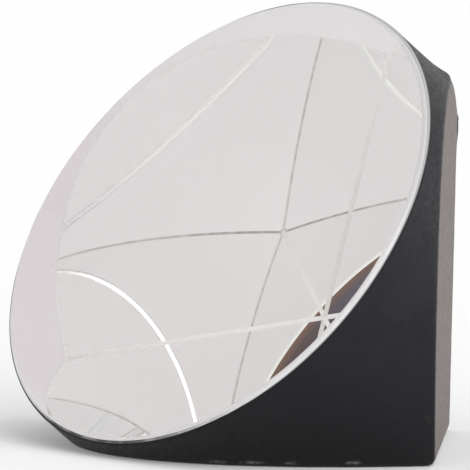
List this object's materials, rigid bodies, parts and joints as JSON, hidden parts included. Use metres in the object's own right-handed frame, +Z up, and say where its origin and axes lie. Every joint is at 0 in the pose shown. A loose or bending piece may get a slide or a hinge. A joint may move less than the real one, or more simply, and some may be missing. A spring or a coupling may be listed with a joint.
{
  "type": "corner-cube reflector prism",
  "caption": "Solid glass corner-cube reflector prism: round polished entrance face, black-lacquered round wall, and silvered square facets that send light back the way it came.",
  "frame": {"origin": "on the ground under the middle of the bounding box, with the prism standing on its base facet", "axes": "+Z up; the round entrance face looks to -Y and up; the upright edge of the corner is at the back, at +Y; X runs left to right across the mirror plane"},
  "size_m": [0.0624, 0.0562, 0.0527],
  "materials": {
    "optical_glass": "polished entrance face and facets, fine-ground wall, bevel and edge flats",
    "silvering": "chemical silvering, bright on the facets and satin on the ground wall",
    "black_lacquer": "brushed-on semi-matt black lacquer"
  },
  "bodies": {
    "root": {"glass_body": "optical_glass", "silver_base": "silvering", "silver_left": "silvering", "silver_right": "silvering", "silver_barrel": "silvering", "lacquer_base": "black_lacquer", "lacquer_left": "black_lacquer", "lacquer_right": "black_lacquer", "lacquer_barrel": "black_lacquer"}
  },
  "joints": []
}
